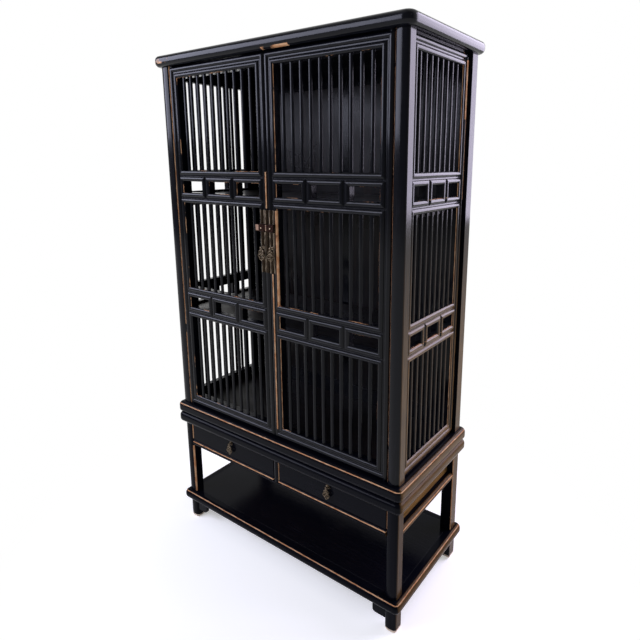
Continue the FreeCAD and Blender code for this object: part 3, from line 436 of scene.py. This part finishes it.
FRONT_FACE = (Y, -227, -216)
POST_FACE = (Y, -227, -216.5)
SIDE_FACE = (X, 482, 490)
FOOT_END = [(Z, -2, 12)]
RAILS_LOWER_EDGES = (893, 971, 1325, 1403, 1756)
RAILS_UPPER_EDGES = (568, 931, 1009, 1363, 1441)
EDGE_WIDE = 1.1
rail_edges = [[FRONT_FACE, (Z, level, level + EDGE_WIDE)] for level in RAILS_LOWER_EDGES]
rail_edges += [[FRONT_FACE, (Z, level - EDGE_WIDE, level)] for level in RAILS_UPPER_EDGES]
hinge_stile_edges = [[FRONT_FACE, (X, 418.8, 420.2)]]
meeting_stile_edges = [
    [FRONT_FACE, (X, 37.2, 38.4)],
    [FRONT_FACE, (LEFT_OR_RIGHT, -6.5, -3), (Z, 1325, 1440)],
    [FRONT_FACE, (LEFT_OR_RIGHT, 12.5, 16), (Z, 560, 1113)],
    [FRONT_FACE, (LEFT_OR_RIGHT, 33, 39.5), (Z, 1000, 1320)],
]
upright_edges = [[FRONT_FACE, (X, low, low + EDGE_WIDE)] for low in (140, 279)]
post_edges = [[POST_FACE, (X, 457.5, 461)]]
leg_edges = [
    [POST_FACE, (X, 457.5, 462), (Z, 366, 436)],
    [POST_FACE, (LEFT_OR_RIGHT, -464.5, -459), (Z, 120, 334)],
    FOOT_END,
]
rear_leg_edges = [
    [(Y, 177.5, 180.5), (X, 497, 501), (Z, 120, 470)],
    FOOT_END,
]
side_edges = [
    [(X, 480, 490), (Y, 141.4, 142.6)],
    # The next two zones draw an orange strip on the rear stile's outer bead, widest at the top and narrowing
    # downwards
    [SIDE_FACE, (Y, 165, 176.5), (Z, 1600, 1775)],
    [SIDE_FACE, (Y, 170, 176), (Z, 1350, 1640)],
]
side_band_edges = [[(X, 478, 490), (Z, level - EDGE_WIDE, level)] for level in (931, 1363)]
floor_line = [[(Z, 517, 519.7)]]
shelf_line = [[(Z, 120.1, 122.3)]]
rail_line = [[(Z, 353, 356.2)]]
divider_edges = [[(X, 10, 13.5), (Y, -227, -212)]]
top_specks = [
    [(Y, -250, -236), (LEFT_OR_RIGHT, -512, -430), (Z, 1807, 1822)],
    [(Y, -250, -229), (LEFT_OR_RIGHT, 8, 115), (Z, 1796, 1803)],
]

# The materials

# sides_brown sets how much of the painted warm reflection the lower outer sides take
post_lacquer = lacquer("lacquer_front_posts", Z, post_edges, cover=0.8, sides_brown=0.4, gloss=0.15)
leg_lacquer = lacquer("lacquer_front_legs", Z, leg_edges, cover=0.85, sides_brown=0.3, gloss=0.04)
rear_leg_lacquer = lacquer("lacquer_rear_legs", Z, rear_leg_edges, cover=0.85, sides_brown=0.4, gloss=0.05)
rear_post_lacquer = lacquer("lacquer_rear_posts", Z, sides_brown=0.45, gloss=0.09)
hinge_stile_lacquer = lacquer("lacquer_hinge_stiles", Z, hinge_stile_edges, cover=0.5)
meeting_stile_lacquer = lacquer("lacquer_meeting_stiles", Z, meeting_stile_edges, cover=0.8)
door_rail_lacquer = lacquer("lacquer_door_rails", X, rail_edges, cover=0.4)
upright_lacquer = lacquer("lacquer_band_uprights", Z, upright_edges, cover=0.45)
slat_lacquer = lacquer("lacquer_slats", Z, sides_brown=0.2, gloss=0.14)
plain_level = lacquer("lacquer_level", X, gloss=0.05)
drawer_lacquer = lacquer("lacquer_drawer_fronts", X, gloss=0.045)
side_band_lacquer = lacquer("lacquer_side_bands", Y, side_band_edges, cover=0.6, sides_brown=0.6)
side_lacquer = lacquer("lacquer_side_frames", SIDE_FRAME, side_edges, cover=0.9, sides_brown=0.6)
back_lacquer = lacquer("lacquer_back_frame", BACK_FRAME)
top_lacquer = lacquer("lacquer_top", MITRED_PLAN, top_specks, cover=0.6)
first_bead = lacquer("lacquer_first_bead", MITRED_PLAN, floor_line, sides_brown=0.5, gloss=0.06)
second_bead = lacquer("lacquer_second_bead", MITRED_PLAN, sides_brown=0.5, gloss=0.05)
shelf_bead = lacquer("lacquer_low_shelf", MITRED_PLAN, shelf_line, sides_brown=0.4, gloss=0.03)
rail_lacquer = lacquer("lacquer_rails", MITRED_PLAN, rail_line, cover=0.95, sides_brown=0.5, gloss=0.03)
divider_lacquer = lacquer("lacquer_divider", Z, divider_edges, cover=0.8, gloss=0.08)
# The aprons take the painted warm reflection in full
apron_lacquer = lacquer("lacquer_aprons", MITRED_PLAN, sides_brown=1.0, gloss=0.02)
inside_level = inner_lacquer("inner_lacquer_level", X)
inside_upright = inner_lacquer("inner_lacquer_upright", Z)
box_wood = bare_wood("drawer_wood_deep", Y)
bottom_wood = bare_wood("drawer_wood_level", X)
runner_wood = bare_wood("runner_wood", Y)
# The plates' bright crowns are rubbed and also paint the highlight along them
plate_bronze = metal("plate_bronze", PLATE_BRONZE, BRONZE_RUBBED_AND_HIGHLIT, PATINA, rubbed_share=0.1, crowns=0.6)
cast_bronze = metal("cast_bronze", BRONZE, BRONZE_RUBBED_AND_HIGHLIT, PATINA, rubbed_share=0.42)
post_bronze = metal("post_bronze", BRONZE, BRONZE_RUBBED_AND_HIGHLIT, PATINA, rubbed_share=0.6)
bar_bronze = metal("bar_bronze", PALE_BRONZE, PALE_BRONZE, PALE_BRONZE_DARK, rubbed_share=0.5)
# The bright spot on each staple's boss is a painted highlight
boss = (19.75 * MM, 1263 * MM, 3 * MM)
# The staples are near-black bronze that also paints the shade around them
staple_bronze = metal("staple_bronze", DARK_BRONZE_AND_SHADE, BRONZE_RUBBED_AND_HIGHLIT, DARK_BRONZE_AND_SHADE, rubbed_share=0.0, spot=boss)

# What each node is made of, by the ending of its name

NODE_MATERIALS = {
    "top_frame": top_lacquer,
    "top_panel": plain_level,
    "front_posts": post_lacquer,
    "rear_posts": rear_post_lacquer,
    "cabinet_floor_frame": first_bead,
    "cabinet_floor_panel": inside_level,
    "side_frame": side_lacquer,
    "side_bands": side_band_lacquer,
    "side_slats": slat_lacquer,
    "back_frame": back_lacquer,
    "back_panels": inside_upright,
    "upper_shelf": inside_level,
    "lower_shelf": inside_level,
    "shelf_bearers": inside_level,
    "stand_top_frame": second_bead,
    "front_legs": leg_lacquer,
    "rear_legs": rear_leg_lacquer,
    "drawer_rail": rail_lacquer,
    "drawer_divider": divider_lacquer,
    "stand_rails": rail_lacquer,
    "stand_aprons": apron_lacquer,
    "drawer_runners": runner_wood,
    "base_shelf_frame": shelf_bead,
    "base_shelf_panel": plain_level,
    "bracket_spandrels": plain_level,
    "hinge_stile": hinge_stile_lacquer,
    "meeting_stile": meeting_stile_lacquer,
    "end_rails": door_rail_lacquer,
    "band_rails": door_rail_lacquer,
    "band_uprights": upright_lacquer,
    "door_slats": slat_lacquer,
    "drawer_front": drawer_lacquer,
    "drawer_box": box_wood,
    "drawer_bottom": bottom_wood,
    "face_plate": plate_bronze,
    "staple": staple_bronze,
    "pull_post": post_bronze,
    "pull_mount": cast_bronze,
    "lock_bar": bar_bronze,
}


def dress_nodes():
    """Gives every shown node the material of the longest ending that its name has."""
    for name, node in frame["nodes"].items():
        endings = [ending for ending in NODE_MATERIALS if name.endswith(ending)]
        if not endings:
            continue
        material = NODE_MATERIALS[max(endings, key=len)]
        for slot in node.material_slots:
            slot.material = material


# The cast drop pulls: round lobes and holes in millimetres, each across and up from the pin, and its radius

PULL_MIDDLE = -24
LOBES = [
    (0, -9.6, 5.0),
    (5.2, -14.4, 6.0),
    (-5.2, -14.4, 6.0),
    (7.4, -27.2, 7.5),
    (-7.4, -27.2, 7.5),
    (4.0, -35.2, 5.6),
    (-4.0, -35.2, 5.6),
    (0, -41.2, 2.8),
]
HOLES = [
    (5.6, -14.6, 2.6),
    (-5.6, -14.6, 2.6),
    (0, -11.0, 1.3),
    (8.2, -27.2, 3.2),
    (-8.2, -27.2, 3.2),
    (0, -20.6, 2.0),
    (3.9, -35.6, 2.3),
    (-3.9, -35.6, 2.3),
    (0, -29.4, 2.6),
]

# Each scroll's place, its radius at the start and the end, its turns and the angle at its start

SCROLLS = [
    (5.6, -14.6, 4.2, 3.1, 1.2, 1.9),
    (8.2, -27.2, 5.4, 3.8, 1.4, 1.6),
    (3.9, -35.6, 3.9, 2.8, 1.1, -0.6),
]
DOOR_PULL_SHARE = 1.0
DRAWER_PULL_SHARE = 0.95


def flat_curve(name, outlines, half_thick, edge):
    """A flat filled shape with holes and rounded edges, as a mesh. An outline is a list of (across, up)."""
    curve = bpy.data.curves.new(name, "CURVE")
    curve.dimensions = "2D"
    curve.fill_mode = "BOTH"
    curve.extrude = half_thick - edge
    curve.bevel_depth = edge
    curve.bevel_resolution = 3
    curve.offset = -edge
    for points in outlines:
        spline = curve.splines.new("POLY")
        spline.points.add(len(points) - 1)
        for point, (across, up) in zip(spline.points, points):
            point.co = (across, up, 0, 1)
        spline.use_cyclic_u = True
    return mesh_of(curve)


def tube(name, points, radius, closed=False):
    """A round wire through the points, thinner at its open ends, as a mesh."""
    curve = bpy.data.curves.new(name, "CURVE")
    curve.dimensions = "3D"
    curve.bevel_depth = radius
    curve.bevel_resolution = 4
    curve.use_fill_caps = True
    spline = curve.splines.new("POLY")
    spline.points.add(len(points) - 1)
    for point, place in zip(spline.points, points):
        point.co = (*place, 1)
    if not closed:
        end_share = 0.45
        spline.points[0].radius = end_share
        spline.points[-1].radius = end_share
    spline.use_cyclic_u = closed
    return mesh_of(curve)


def mesh_of(curve):
    """The curve's surface as a mesh, in place of the curve."""
    holder = bpy.data.objects.new(curve.name, curve)
    mesh = bpy.data.meshes.new_from_object(holder)
    bpy.data.objects.remove(holder)
    bpy.data.curves.remove(curve)
    return mesh


def circle(across, up, radius, count):
    """The points of a circle, as (across, up)."""
    angles = [2 * math.pi * index / count for index in range(count)]
    return [(across + radius * math.cos(angle), up + radius * math.sin(angle)) for angle in angles]


def lobed_outline(count):
    """The outline of the overlapping lobes: their farthest edge in each direction from the pull's middle."""
    points = []
    for index in range(count):
        angle = 2 * math.pi * index / count
        way = Vector((math.cos(angle), math.sin(angle)))
        reach = 0.0
        for across, up, radius in LOBES:
            to_lobe = Vector((across, up - PULL_MIDDLE))
            along = to_lobe.dot(way)
            off = (to_lobe - way * along).length
            if off < radius:
                reach = max(reach, along + math.sqrt(radius * radius - off * off))
        points.append((way.x * reach, PULL_MIDDLE + way.y * reach))
    return points


def scroll(across, up, start_radius, end_radius, turns, begin, hand, front):
    """The points of a spiral that lies on the pull's face."""
    count = 36
    points = []
    for index in range(count + 1):
        share = index / count
        radius = start_radius + (end_radius - start_radius) * share
        angle = begin + turns * 2 * math.pi * share
        points.append((across + hand * radius * math.cos(angle), front, up + radius * math.sin(angle)))
    return points


def plaque_parts(size_share):
    """The meshes of one pierced plaque with its scrolls and rim, facing -Y, its pin at the origin."""
    unit = MM * size_share
    half_thick = 1.15 * MM
    edge = 0.55 * MM
    outlines = [[(x * unit, z * unit) for x, z in lobed_outline(count=220)]]
    outlines += [circle(x * unit, z * unit, radius * unit, count=20) for x, z, radius in HOLES]
    plaque = flat_curve("plaque", outlines, half_thick, edge)
    plaque.transform(Matrix.Rotation(math.pi / 2, 4, "X"))
    parts = [plaque]
    face = -half_thick
    wire = 0.5 * MM
    for across, up, start_radius, end_radius, turns, begin in SCROLLS:
        for hand in (1, -1):
            points = scroll(hand * across, up, start_radius, end_radius, turns, begin, hand, face / unit)
            parts.append(tube("scroll", [Vector(point) * unit for point in points], wire))
    rim_share = 0.9
    rim_wire = wire * 0.8
    rim = [
        Vector((x * unit * rim_share, face, (PULL_MIDDLE + (z - PULL_MIDDLE) * rim_share) * unit))
        for x, z in lobed_outline(count=120)
    ]
    parts.append(tube("rim", rim, rim_wire, closed=True))
    return parts


def hanger_parts():
    """The meshes of the pin and its two lugs, which are the same on every pull."""
    pin_half = 5.0 * MM
    pin_radius = 1.45 * MM
    taper_from = 0.9
    pin_shares = (-1, -taper_from, taper_from, 1)
    parts = [tube("pin", [(share * pin_half, 0, 0) for share in pin_shares], pin_radius)]
    lug_away, foot_share = 3.7 * MM, 0.9
    lug_ring, lug_wire, stem_radius = 2.15 * MM, 1.0 * MM, 1.15 * MM
    stem_foot, stem_head = -7.6 * MM, -1.8 * MM
    stem_middle = (stem_foot + stem_head) / 2
    for hand in (1, -1):
        lug_place = hand * lug_away
        foot_place = lug_place * foot_share
        ring = [(lug_place, across, up) for across, up in circle(0, 0, lug_ring, count=28)]
        parts.append(tube("lug", ring, lug_wire, closed=True))
        stem = [(lug_place, 0, stem_head), (lug_place, 0, stem_middle), (foot_place, 0, stem_foot)]
        parts.append(tube("stem", stem, stem_radius))
    return parts


def joined(name, meshes):
    """One smooth-shaded mesh object from several meshes."""
    work = bmesh.new()
    for mesh in meshes:
        work.from_mesh(mesh)
        bpy.data.meshes.remove(mesh)
    bmesh.ops.recalc_face_normals(work, faces=work.faces)
    result = bpy.data.meshes.new(name)
    work.to_mesh(result)
    work.free()
    result.shade_smooth()
    sharp_angle = math.radians(50)
    result.set_sharp_from_angle(angle=sharp_angle)
    made = bpy.data.objects.new(name, result)
    bpy.context.scene.collection.objects.link(made)
    return made


def hang_pull(side, owner, node, size_share):
    """A cast pull on the pin of its joint, in place of the plain one."""
    body = f"{side}_{owner}_drop"
    pin = joints[f"{body}_hinge"]["pos_m"]
    pull = joined(f"{side}_{owner}_cast_pull", plaque_parts(size_share) + hanger_parts())
    pull.data.transform(Matrix.Translation(pin))
    pull.data.materials.append(cast_bronze)
    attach(pull, body)
    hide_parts(node)


# The studio


def area_light(name, place, towards, wide, tall, radiance, colour=WHITE):
    """A soft box that isn't seen itself."""
    lamp = bpy.data.lights.new(name, "AREA")
    lamp.shape = "RECTANGLE"
    lamp.size = wide
    lamp.size_y = tall
    lamp.energy = radiance * math.pi * wide * tall
    lamp.color = colour
    holder = bpy.data.objects.new(name, lamp)
    holder.location = place
    holder.rotation_euler = (Vector(towards) - Vector(place)).to_track_quat("-Z", "Y").to_euler()
    holder.visible_camera = False
    bpy.context.scene.collection.objects.link(holder)


def light_studio():
    """A weak light overhead, a violet one from the right rear and a blue one from the left front."""
    area_light("overhead", place=(-0.3, -0.4, 3.6), towards=(0, 0, 0), wide=3.2, tall=2.8, radiance=0.4)
    area_light(
        "right_rear_box", place=(2.0, 2.3, 2.3), towards=(0.5, 0, 1.7),
        wide=2.5, tall=2.7, radiance=7.5, colour=VIOLET_LIGHT,
    )
    area_light(
        "left_front_box", place=(-2.2, -2.45, 2.42), towards=(0, 0, 1.4),
        wide=3.0, tall=1.55, radiance=8.8, colour=BLUE_LIGHT,
    )


def pale_world():
    """White where it is seen, dimmer in front of the cabinet where it is mirrored, and else a plain fill."""
    world = bpy.data.worlds.new("studio")
    bpy.context.scene.world = world
    world.use_nodes = True
    tree = world.node_tree
    tree.nodes.clear()
    path = add(tree, "ShaderNodeLightPath")
    mirrored = calc(tree, "MAXIMUM", path.outputs["Is Glossy Ray"], path.outputs["Is Transmission Ray"])
    fill_strength, front_strength, rear_strength = 0.22, 0.25, 1.0
    front_to, rear_from = -0.25, 0.35
    behind = parts_of(tree, add(tree, "ShaderNodeTexCoord").outputs["Generated"])[Y]
    mirrored_strength = between(tree, behind, front_to, rear_from, front_strength, rear_strength)
    strength = mixed(tree, mirrored, fill_strength, mirrored_strength, "FLOAT")
    strength = mixed(tree, path.outputs["Is Camera Ray"], strength, 1.0, "FLOAT")
    background = add(tree, "ShaderNodeBackground", Color=WHITE, Strength=strength)
    output = tree.nodes.new("ShaderNodeOutputWorld")
    join(tree, background.outputs[0], output.inputs["Surface"])


def floor_material():
    """Pale and matt. Seen or mirrored it is lifted to white, its shadow stays, and far out it glows white."""
    material, tree, shader = new_material("pale_floor")
    place = place_on(tree)
    specks = between(tree, noise(tree, place, scale=300), 0.4, 0.6, first=0, last=0.3)
    join(tree, mixed(tree, specks, PALE_FLOOR, PALE_FLOOR_SPECKS), shader.inputs["Base Color"])
    shader.inputs["Roughness"].default_value = 0.9
    shader.inputs["Specular IOR Level"].default_value = 0.0
    path = add(tree, "ShaderNodeLightPath")
    seen = calc(tree, "MAXIMUM", path.outputs["Is Camera Ray"], path.outputs["Is Glossy Ray"])
    seen = calc(tree, "MAXIMUM", seen, path.outputs["Is Transmission Ray"])
    lift_strength = 0.4
    lift = add(tree, "ShaderNodeEmission", Color=WHITE, Strength=times(tree, seen, lift_strength))
    lifted = tree.nodes.new("ShaderNodeAddShader")
    join(tree, shader.outputs[0], lifted.inputs[0])
    join(tree, lift.outputs[0], lifted.inputs[1])
    away = add(tree, "ShaderNodeVectorMath", {"operation": "LENGTH"}, Vector=place).outputs["Value"]
    fade_from, fade_to = 0.5, 1.2
    glow = add(tree, "ShaderNodeEmission", Color=WHITE)
    blend = tree.nodes.new("ShaderNodeMixShader")
    join(tree, between(tree, away, fade_from, fade_to), blend.inputs[0])
    join(tree, lifted.outputs[0], blend.inputs[1])
    join(tree, glow.outputs[0], blend.inputs[2])
    join(tree, blend.outputs[0], tree.nodes["Material Output"].inputs["Surface"])
    return material


def pale_floor():
    """A large round floor that takes the shadow, a little below the feet."""
    level = -0.5 * MM
    work = bmesh.new()
    bmesh.ops.create_circle(work, cap_ends=True, radius=9.0, segments=96)
    mesh = bpy.data.meshes.new("studio_floor")
    work.to_mesh(mesh)
    work.free()
    floor = bpy.data.objects.new("studio_floor", mesh)
    floor.location.z = level
    bpy.context.scene.collection.objects.link(floor)
    mesh.materials.append(floor_material())


def place_camera():
    """The photograph's view, from the fit of the cabinet's edges."""
    frame_pixels, focal_pixels = 640, 522
    middle_across, middle_down = 342.5, 274.6
    turn, down, roll = math.radians(35.983), math.radians(12.233), math.radians(0.09)
    lens = bpy.data.cameras.new("camera")
    lens.sensor_width = 36
    lens.lens = lens.sensor_width * focal_pixels / frame_pixels
    lens.shift_x = 0.5 - middle_across / frame_pixels
    lens.shift_y = middle_down / frame_pixels - 0.5
    camera = bpy.data.objects.new("camera", lens)
    camera.location = (1.1767, -1.4351, 1.4719)
    camera.rotation_euler = (math.pi / 2 - down, roll, turn)
    bpy.context.scene.collection.objects.link(camera)
    bpy.context.scene.camera = camera


dress_nodes()
for side in ("left", "right"):
    hang_pull(side, "door", f"{side}_door_drop_pull", DOOR_PULL_SHARE)
    hang_pull(side, "drawer", f"{side}_drawer_drop", DRAWER_PULL_SHARE)
pale_world()
pale_floor()
light_studio()
place_camera()
bpy.context.scene.view_settings.view_transform = "Standard"
